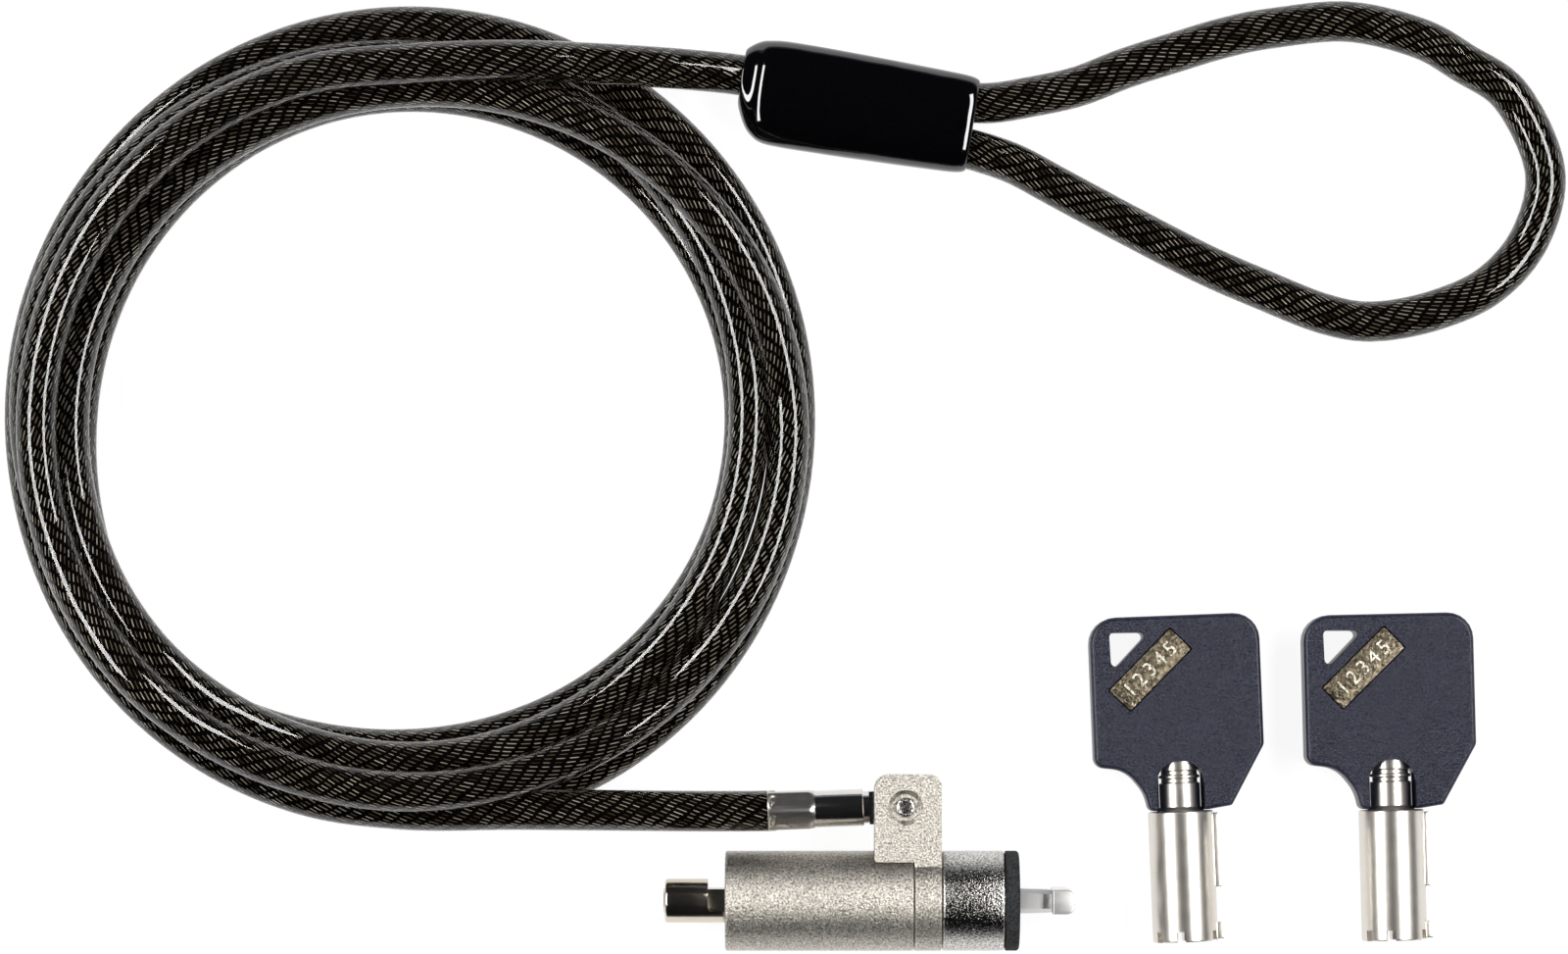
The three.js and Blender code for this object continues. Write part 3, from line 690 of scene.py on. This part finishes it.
# each row is a ring: place along, centre across, half width, half height and squareness
boot = {
    "x": -26.0, "y": 82.62, "z": 3.7, "tilt": -9.4, "sides": 64,
    "outer": (
        (-14.4, 1.5, 2.85, 2.75, 2.0), (-14.6, 1.4, 3.2, 2.85, 2.0), (-14.4, 1.2, 3.7, 2.92, 2.1),
        (-13.8, 0.8, 4.6, 2.9, 2.2), (-13.2, 0.5, 5.3, 2.95, 2.3), (-12.7, 0.35, 5.7, 3.15, 2.4),
        (-12.25, 0.25, 5.95, 3.45, 2.5), (-11.8, 0.1, 6.15, 3.64, 2.6), (-10.8, 0, 6.45, 3.72, 2.6),
        (-9.0, 0, 6.55, 3.73, 2.7), (-3.0, 0, 6.5, 3.7, 2.7), (4.0, 0, 6.35, 3.65, 2.7),
        (10.5, 0, 6.15, 3.6, 2.7), (12.6, 0, 6.08, 3.54, 2.7), (13.6, 0, 5.95, 3.4, 2.7),
        (14.2, 0, 5.75, 3.15, 2.7), (14.45, 0, 5.5, 2.9, 2.7)),
    "inner": (
        (14.3, 0, 5.3, 2.75, 2.6), (13.6, 0, 5.3, 2.75, 2.6), (10.0, 0, 5.5, 2.9, 2.6),
        (-10.5, 0, 5.6, 2.9, 2.6), (-11.6, 0.9, 4.2, 2.8, 2.2), (-12.6, 1.5, 2.62, 2.62, 2.0),
        (-14.0, 1.5, 2.7, 2.68, 2.0)),
}


def ovalRing(along, across, halfWidth, halfHeight, power):
    ring = []
    for k in range(boot["sides"]):
        angle = 2 * math.pi * k / boot["sides"]
        c, s = math.cos(angle), math.sin(angle)
        ring.append((along, across + halfWidth * math.copysign(abs(c) ** (2 / power), c),
                     halfHeight * math.copysign(abs(s) ** (2 / power), s)))
    return ring


def makeBoot():
    piece = skinned("loopBoot", [ovalRing(*row) for row in boot["outer"] + boot["inner"]], closed=True)
    smooth = piece.modifiers.new("smooth", "SUBSURF")
    smooth.levels = smooth.render_levels = 1
    settle(piece)
    place = placeAt(boot["x"], boot["y"], boot["z"], boot["tilt"])
    return finishPiece(piece, place, blackVinyl, "cable", ["loop_sleeve"], sharp=None)


loopBoot = makeBoot()
print("boot ready")

# ---- the lock head: x runs from the barrel's rear face to the T-bar ----

barrelLow, barrelHigh = (np.array(corner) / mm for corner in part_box("lock_barrel"))
headPlace = placeAt(barrelLow[0], (barrelLow[1] + barrelHigh[1]) / 2, (barrelLow[2] + barrelHigh[2]) / 2)
head = {
    "radius": 6.1, "barrel": 23.0, "neck": 5.1, "neckEnd": 30.9, "bore": 4.3,
    "keyway": ((-1, 3.8, -0.65), (2.4, 5.1, 0.65)),
}
frontCap = {"start": 26.5, "wall": 31.0, "end": 34.1, "bore": 5.3, "window": 1.62, "pinHole": 0.95}
pad = {"start": 34.2, "end": 35.9, "bore": 3.7}
collar = {"start": 23.1, "end": 26.4, "bore": 5.2, "webLow": 2, "webHigh": 8.2}
ear = {"left": 18.24, "right": 26.4, "bottom": 4.92, "top": 15.28, "inner": 2.65, "outer": 4.25}
rivet = {
    "x": 22.0, "y": 11.58, "hole": 0.74, "holeDepth": 1.6, "shank": 1.1, "head": 1.2,
    "recess": 2.14, "depth": 0.65, "clearance": 0.12,
}
tBar = {
    "start": 30.0, "headStart": 39.9, "tip": 42.66, "halfWidth": 1.53, "halfHeight": 3.1,
    "flange": (1.5, 2.6),
    "section": ((-1.5, -0.85), (-0.95, -1.45), (0.95, -1.45), (1.5, -0.85), (1.5, 0.85), (0.95, 1.45),
                (-0.95, 1.45), (-1.5, 0.85)),
    # the neck's section shrinks towards the bar: place along and share of its size
    "taper": ((30.0, 1.0), (36.2, 1.0), (39.55, 0.93), (40.3, 0.86)),
}
plug = {
    "rear": -7.5, "face": 1.6, "radius": 2.7, "step": 1.4, "tail": 2.05, "end": 11.5,
    "flatStart": -2.1, "flatEnd": 0.6, "flat": 1.5, "slot": 1.14, "driver": (13.3, 0.5, -1.3),
}
lockingPin = {"radius": 0.85, "offset": 2.5, "start": 17.2, "end": 34.4}


def headPiece(piece, material, body, replaced, sharp=35):
    return finishPiece(piece, headPlace, material, body, replaced, sharp)


def barAlong(start, end, radius, y=0, z=0, sides=48):
    bar = turned("tool", [(start, 0), (start, radius), (end, radius), (end, 0)], False, sides)
    return movePiece(bar, 0, y, z)


def postUp(low, high, radius, x, y, sides=48):
    post = turned("tool", [(low, 0), (low, radius), (high, radius), (high, 0)], False, sides)
    return turnPiece(post, -90, "Y", (x, y, 0))


def makeBarrel():
    r, bore, shoulder, neck, end = pick(head, "radius bore barrel neck neckEnd")
    body = turned("lockBarrel", [
        (0, bore, 0.15), (0, r, 0.35), (shoulder, r, 0.2), (shoulder, neck), (end, neck), (end, bore)],
        sides=128)
    joinOrCut(body, "DIFFERENCE", block("tool", *head["keyway"]))
    return headPiece(body, satinNickel, "head", ["lock_barrel"])


def makeFrontCap():
    r = head["radius"]
    start, wall, end, bore, half, pinHole = pick(frontCap, "start wall end bore window pinHole")
    body = turned("frontCap", [
        (start, bore), (start, r, 0.3), (end, r, 0.3), (end, 0), (wall, 0), (wall, bore)], sides=128)
    window = block("tool", (wall - 1, -half, -half), (end + 1, half, half))
    holes = [barAlong(wall - 1, end + 1, pinHole, side * lockingPin["offset"]) for side in (-1, 1)]
    joinOrCut(body, "DIFFERENCE", window, *holes)
    return headPiece(body, brightNickel, "head", ["front_cap"])


def makeCollar():
    r = head["radius"]
    left, right, bottom, top, inner, outer = pick(ear, "left right bottom top inner outer")
    start, end, bore = pick(collar, "start end bore")
    ring = turned("swivelCollar", [(start, bore), (start, r, 0.15), (end, r, 0.15), (end, bore)], sides=128)
    shape = roundedLine([(left, bottom, 0.3), (right, bottom), (right, top, 1.0), (left, top, 1.8)], steps=8)
    plates = [prism("tool", shape, low, high) for low, high in ((inner, outer), (-outer, -inner))]
    web = block("tool", (start, collar["webLow"], -outer), (end, collar["webHigh"], outer))
    joinOrCut(ring, "UNION", web, *plates)
    cuts = [barAlong(start - 8, start, r + 0.15, sides=128), barAlong(start - 1, end + 1, bore, sides=128)]
    for side in (-1, 1):
        face = side * outer
        floor = side * (outer - rivet["depth"])
        dish = turned("tool", [
            (floor, 0), (floor, rivet["head"] + 0.4), (face - side * 0.2, rivet["recess"]),
            (face + side, rivet["recess"]), (face + side, 0)], False, 64)
        cuts.append(turnPiece(dish, -90, "Y", (rivet["x"], rivet["y"], 0)))
    cuts.append(postUp(-outer - 1, outer + 1, rivet["shank"] + rivet["clearance"], rivet["x"], rivet["y"]))
    joinOrCut(ring, "DIFFERENCE", *cuts)
    softenEdges(ring, 0.16, 2, 40)
    return headPiece(ring, satinNickel, "collar", ["swivel_collar"])


def makeRivet():
    top = ear["outer"] - 0.1
    neck = top - rivet["depth"] + 0.25
    hole, shank, flare = pick(rivet, "hole shank head")
    floor = top - rivet["holeDepth"]
    body = turned("cableRivet", [
        (-floor, 0), (-floor, hole), (-top, hole, 0.12), (-top, flare, 0.3), (-neck, flare), (-neck, shank),
        (neck, shank), (neck, flare), (top, flare, 0.3), (top, hole, 0.12), (floor, hole), (floor, 0)],
        False, sides=48)
    turnPiece(body, -90, "Y", (rivet["x"], rivet["y"], 0))
    return headPiece(body, brightNickel, "collar", ["cable_rivet"])


def makePad():
    r = head["radius"]
    start, end, bore = pick(pad, "start end bore")
    body = turned("rubberPad", [(start, bore), (start, r, 0.15), (end, r, 0.45), (end, bore, 0.15)],
                  sides=128)
    return headPiece(body, blackRubber, "head", ["rubber_pad"])


def makeTBar():
    start, headStart, tip, half = pick(tBar, "start headStart tip halfWidth")
    neck = skinned("tBar", [[(x, y * share, z * share) for y, z in tBar["section"]]
                            for x, share in tBar["taper"]])
    side, height = tBar["flange"]
    flange = block("tool", (start, -side, -height), (frontCap["wall"] - 0.12, side, height))
    face = roundedLine([(headStart, -half, 0.25), (tip, -half, 1.05), (tip, half, 1.05),
                        (headStart, half, 0.25)], steps=6)
    bar = prism("tool", face, -tBar["halfHeight"], tBar["halfHeight"])
    joinOrCut(neck, "UNION", flange, softenEdges(bar, 0.3, 3))
    return headPiece(neck, barChrome, "head", ["t_bar"], sharp=22)


def makePlug():
    rear, r, step, tail, end = pick(plug, "rear radius step tail end")
    body = turned("lockPlug", [
        (rear, 0), (rear, plug["face"] - 0.1, 0.1), (rear + 0.15, plug["face"], 0.1), (rear + 0.15, r, 0.35),
        (step, r, 0.1), (step, tail), (end, tail), (end, 0)], False, sides=96)
    low, high, flat, slot = pick(plug, "flatStart flatEnd flat slot")
    outside = 4
    side = block("tool", (low, flat, -outside), (high, outside, outside))
    line = roundedLine([(low, -slot, 0.5), (high, -slot), (high, outside), (low, outside)], steps=6)
    joinOrCut(body, "DIFFERENCE", side, prism("tool", line, flat, outside))
    tip, radius, down = plug["driver"]
    joinOrCut(body, "UNION", barAlong(end - 0.5, tip, radius, 0, down, 24))
    softenEdges(body, 0.08, 2, 50)
    return headPiece(body, warmChrome, "plug", ["lock_plug"])


def makeLockingPins():
    start, end, r, offset = pick(lockingPin, "start end radius offset")
    for side, sign in (("left", 1), ("right", -1)):
        line = [(start, 0), (start, r), (end, r, 0.35), (end, 0)]
        pin = turned(f"lockingPin.{side}", line, False, sides=48)
        movePiece(pin, 0, sign * offset, 0)
        headPiece(pin, polishedChrome, "bolt", [f"locking_pin_{side}"])


tumbler = {
    "start": 1.6, "end": 5.0, "radius": 4.15, "bore": 2.17, "circle": 3.35, "pin": 0.45, "hole": 0.55,
    "places": 8,
}


# round pins instanced on a circle of places, with the last place left empty
def tumblerPinTree(material):
    group = bpy.data.node_groups.new("tumblerPins", "GeometryNodeTree")
    treeInput(group, "Geometry", "Geometry")
    sockets = {"Circle": treeInput(group, "Circle", "Float", tumbler["circle"] * mm),
               "Pin": treeInput(group, "Pin", "Float", tumbler["pin"] * mm),
               "Places": treeInput(group, "Places", "Int", tumbler["places"])}
    group.interface.new_socket("Pins", in_out="OUTPUT", socket_type="NodeSocketGeometry")
    given = group.nodes.new("NodeGroupInput").outputs
    circle = addNode(group, "GeometryNodeMeshCircle",
                     {"Vertices": given["Places"], "Radius": given["Circle"]})
    number = addNode(group, "GeometryNodeInputIndex")
    used = addNode(group, "FunctionNodeCompare", {}, data_type="INT", operation="GREATER_THAN")
    setInputs(group, used, {2: number, 3: 0})
    length = tumbler["end"] - tumbler["start"] - 0.3
    pin = addNode(group, "GeometryNodeMeshCylinder",
                  {"Vertices": 24, "Radius": given["Pin"], "Depth": length * mm})
    nose = addNode(group, "GeometryNodeMeshUVSphere", {"Segments": 24, "Rings": 12, "Radius": given["Pin"]})
    lifted = addNode(group, "GeometryNodeTransform",
                     {"Geometry": nose, "Translation": (0, 0, length / 2 * mm), "Scale": (1, 1, 0.4)})
    whole = addNode(group, "GeometryNodeJoinGeometry")
    group.links.new(pin.outputs["Mesh"], whole.inputs[0])
    group.links.new(lifted.outputs[0], whole.inputs[0])
    placed = addNode(group, "GeometryNodeInstanceOnPoints",
                     {"Points": circle, "Selection": used, "Instance": whole})
    finishTree(group, placed, material)
    return group, sockets


def makeTumblers():
    start, end, r, bore = pick(tumbler, "start end radius bore")
    ring = turned("tumblerRing", [(start, bore), (start, r, 0.15), (end, r), (end, bore)], sides=96)
    holes = []
    for i in range(1, tumbler["places"]):
        angle = 2 * math.pi * i / tumbler["places"]
        y, z = tumbler["circle"] * math.cos(angle), tumbler["circle"] * math.sin(angle)
        holes.append(barAlong(start - 1, end + 1, tumbler["hole"], y, z, 20))
    joinOrCut(ring, "DIFFERENCE", *holes)
    headPiece(ring, turnedBrass, "plug", ["tumbler_ring"])
    pins = meshPiece("keyPins", [(0, 0, 0)], [])
    tree, sockets = tumblerPinTree(polishedChrome)
    modifier = pins.modifiers.new("pins", "NODES")
    modifier.node_group = tree
    settle(pins)
    # the pins stand on Z: turn them to face the rear and slide them into the ring
    pins.data.transform(Matrix.Rotation(math.radians(90), 4, "Z") @ Matrix.Scale(1 / mm, 4))
    turnPiece(pins, -90, "Y", ((start + end) / 2, 0, 0))
    headPiece(pins, polishedChrome, "plug", [f"key_pin_{i}" for i in range(1, 8)])


for makePart in (makeBarrel, makeFrontCap, makeCollar, makeRivet, makePad, makeTBar, makePlug,
                 makeLockingPins, makeTumblers):
    makePart()
print("lock head ready")

# ---- the ferrule on the cable's end: x runs from the rivet, away from the cable ----

ferrule = {
    "tilt": 2.05, "end": -16.8, "crimp": -11.1, "rim": -5.1, "neck": -3.8, "radius": 2.28, "flat": 2.5,
    "bore": 2.1, "eye": 2.5, "eyeHeight": 2.4, "web": 2.0, "sides": 96,
}


def makeFerrule():
    end, crimp, rim, neck, r = pick(ferrule, "end crimp rim neck radius")

    # the crimped stretch: a hexagon pressed into the tube, flat to flat, with rounded corners
    def ring(x, radius, press):
        points = []
        for k in range(ferrule["sides"]):
            angle = 2 * math.pi * k / ferrule["sides"]
            fold = (angle + math.pi / 6) % (math.pi / 3) - math.pi / 6
            hexagon = min(ferrule["flat"] * 0.93 / math.cos(fold), ferrule["flat"] * 1.04)
            size = radius + (hexagon - radius) * press
            points.append((x, size * math.cos(angle), size * math.sin(angle)))
        return points

    rows = [(end + 2.6, ferrule["bore"], 0), (end + 0.35, 2.4, 0), (end, 2.44, 0), (end, 2.52, 0),
            (end + 0.12, 2.6, 0.15), (end + 0.5, 2.52, 1), (crimp - 0.7, 2.52, 1), (crimp - 0.2, 2.36, 0.55),
            (crimp + 0.1, r, 0), (rim - 0.12, r, 0), (rim, r - 0.06, 0), (rim + 0.02, r - 0.3, 0),
            (neck + 0.6, r - 0.3, 0)]
    body = skinned("cableFerrule", [ring(*row) for row in rows])
    height, half = ferrule["eyeHeight"], ferrule["web"]
    eye = postUp(-height, height, ferrule["eye"], 0, 0, 64)
    web = block("tool", (neck - 0.6, -half, -half), (0, half, half))
    hole = postUp(-height - 0.6, height + 0.6, rivet["shank"] + rivet["clearance"], 0, 0)
    joinOrCut(softenEdges(eye, 0.25, 3), "UNION", web)
    joinOrCut(body, "UNION", eye)
    joinOrCut(body, "DIFFERENCE", hole)
    inCrimp = [face.center.x < crimp for face in body.data.polygons]
    middle = headPlace @ Vector((rivet["x"], rivet["y"], 0)) / mm
    place = placeAt(*middle, ferrule["tilt"])
    finishPiece(body, place, polishedChrome, "cable", ["cable_ferrule"], sharp=25)
    # the jaws of the press left the crimp duller
    body.data.materials.append(satinChrome)
    body.data.polygons.foreach_set("material_index", inCrimp)
    return body


cableFerrule = makeFerrule()
print("cable and ferrule ready")

# ---- the keys: y runs from the tube's shoulder to the top of the bow ----

key = {
    "half": 3.0, "top": 23.95, "tube": 4.0, "bore": 2.8, "tubeLength": 16.0,
    "shank": 2.5, "shankEnd": 12.0, "window": 2.9, "windowTop": 6.1, "web": 0.4, "rim": 0.9,
    "boreEnd": -2.2, "groove": 0.28,
    # the rib and the lug on the tube: start, end and height, then what they share
    "rib": (-9.4, -0.35, 0.7), "lug": (-15.75, -13.7, 0.8), "lugHalf": 0.6, "lugInside": 3.4,
    # the bow's corners and its split ring's hole, in x, y and rounding
    "bow": ((10.4, 7.8, 1.2), (10.4, 23.95, 3.2), (-10.4, 23.95, 3.2), (-10.4, 5.7, 1.3), (-6.6, 5.2, 4.0),
            (-4.4, 2.4, 5.0), (-3.9, 0.1), (3.3, 0.1), (6.2, 0.5, 0.6)),
    "ringHole": ((-8, 22.1, 0.55), (-7.9, 17.2, 0.55), (-3.1, 22, 0.55)),
    # the notches for the tumblers, in turns around the tube, and their size
    "notches": (0.1, 0.22, 0.42, 0.58, 0.78, 0.9), "notchLow": 2.4, "notchHalf": 0.55, "notchDepth": 1.3,
}
keyPlaces = (
    {"name": "key_1", "x": 13.64, "y": -3.7, "turn": 2.2},
    {"name": "key_2", "x": 39.47, "y": -3.52, "turn": 1.3},
)
tag = {
    "x": -3.15, "y": 17.4, "turn": 43.5, "length": 10.6, "width": 3.6, "top": 2.92, "bottom": 2.35,
    "raised": 0.14, "digits": "12345", "digitSize": 2.6, "spacing": 1.35,
}


def tagBlock(margin, low, high):
    half = tag["length"] / 2 + margin
    side = tag["width"] / 2 + margin
    corners = [(-half, -side, 0.25), (half, -side, 0.25), (half, side, 0.25), (-half, side, 0.25)]
    piece = prism("tool", roundedLine(corners, steps=3), low, high)
    return turnPiece(piece, tag["turn"], "Z", (tag["x"], tag["y"], 0))


def makeBow(name):
    half = key["half"]
    bow = prism(f"{name}.bow", roundedLine(key["bow"], steps=6), -half, half)
    softenEdges(bow, key["rim"], 5, 50)
    ringHole = prism("tool", roundedLine(key["ringHole"], steps=5), -half - 1, half + 1)
    window, top = key["window"], key["windowTop"]
    archLine = roundedLine([(-window, -1), (window, -1), (window, top, 2.7), (-window, top, 2.7)], steps=8)
    # a thin web is left beside the shank
    arches = [prism("tool", archLine, low, high)
              for low, high in ((key["web"], half + 1), (-half - 1, -key["web"]))]
    bore = turnPiece(barAlong(-1, key["shankEnd"] + 0.2, key["shank"] + 0.1, sides=64), 90, "Z")
    joinOrCut(bow, "DIFFERENCE", ringHole, *arches, bore, tagBlock(0.15, 2.2, half + 1))
    softenEdges(bow, 0.12, 2, 55)
    return bow


def makeKeyTube(name):
    length, r, bore, shank, end, boreEnd = pick(key, "tubeLength tube bore shank shankEnd boreEnd")
    neck = shank - key["groove"]
    # two shallow grooves run around the shank
    body = turned(f"{name}.tube", [
        (-length, bore, 0.12), (-length, r, 0.22), (-0.03, r, 0.25), (0.02, shank + 0.4, 0.1),
        (0.5, shank, 0.1), (3.4, shank, 0.1), (3.5, neck, 0.1), (3.95, neck, 0.1), (4.05, shank, 0.1),
        (4.35, shank, 0.1), (4.45, neck, 0.1), (4.9, neck, 0.1), (5.0, shank, 0.1), (end, shank),
        (end, 0), (boreEnd, 0), (boreEnd, bore)], sides=96, steps=4)
    half, inside = pick(key, "lugHalf lugInside")
    for low, high, height in (key["rib"], key["lug"]):
        lug = softenEdges(block("tool", (low, -r - height, -half), (high, -inside, half)), 0.15, 2)
        joinOrCut(body, "UNION", lug)
    cuts = []
    low, half, depth = pick(key, "notchLow notchHalf notchDepth")
    for turn in key["notches"]:
        slot = block("tool", (-length - 1, low, -half), (-length + depth, r + 1, half))
        cuts.append(turnPiece(slot, 360 * turn, "X"))
    joinOrCut(body, "DIFFERENCE", *cuts)
    softenEdges(body, 0.05, 1, 60)
    return turnPiece(body, 90, "Z")


# a plate with a raised serial number
def makeTag(name):
    face = tag["top"] - tag["raised"]
    plate = softenEdges(tagBlock(0, tag["bottom"], face), 0.12, 2)
    plate.name = f"{name}.tag"
    text = bpy.data.curves.new("digits", "FONT")
    text.body = tag["digits"]
    text.size = tag["digitSize"]
    text.extrude = tag["raised"]
    text.offset = -0.03
    text.bevel_depth = 0.05
    text.align_x, text.align_y = "CENTER", "CENTER"
    text.space_character = tag["spacing"]
    digits = settle(linkPiece("digits", text))
    turnPiece(digits, tag["turn"], "Z", (tag["x"], tag["y"], face))
    return plate, digits


def makeKeys():
    lean = math.asin((key["tube"] - key["half"]) / key["top"])
    for spot in keyPlaces:
        name = spot["name"]
        place = placeAt(spot["x"], spot["y"], key["tube"], spot["turn"]) @ Matrix.Rotation(-lean, 4, "X")
        finishPiece(makeBow(name), place, keyPlastic, name, [f"{name}_bow"])
        finishPiece(makeKeyTube(name), place, keyNickel, name, [f"{name}_tube"])
        plate, digits = makeTag(name)
        finishPiece(plate, place, tagMetal, name, [f"{name}_tag"])
        digits.name = f"{name}.digits"
        finishPiece(digits, place, digitMetal, name)


makeKeys()
print("keys ready")

# the inner pieces keep their solids and get their metals
innerFinish = {
    springSteel: ["t_bar_pin", "cap_pin", "return_spring", "latch_pin", "latch_spring", "loop_crimp"]
    + [f"driver_pin_{i}" for i in range(1, 8)],
    turnedBrass: ["bolt_carriage"],
}
for material, names in innerFinish.items():
    for name in names:
        cadNodes[name].data.materials.clear()
        cadNodes[name].data.materials.append(material)

# each spring's joint, axis, the fixed end's place, and how far the free end travels; here each spring only
# gets its own mesh, and nothing makes it shorten
wallFace = barrelLow[0] + frontCap["wall"]
latchEnd = barrelHigh[2] - head["radius"] - 0.8
springs = {
    "return_spring": {"joint": "plug_push", "axis": 0, "fixed": wallFace, "travel": 5.0},
    "latch_spring": {"joint": "latch_retract", "axis": 2, "fixed": latchEnd, "travel": 0.7},
}
for name, spring in springs.items():
    low, high = (Vector(corner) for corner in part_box(name))
    anchor = (low + high) / 2
    anchor[spring["axis"]] = spring["fixed"] * mm
    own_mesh(cadNodes[name])

print("all pieces ready")
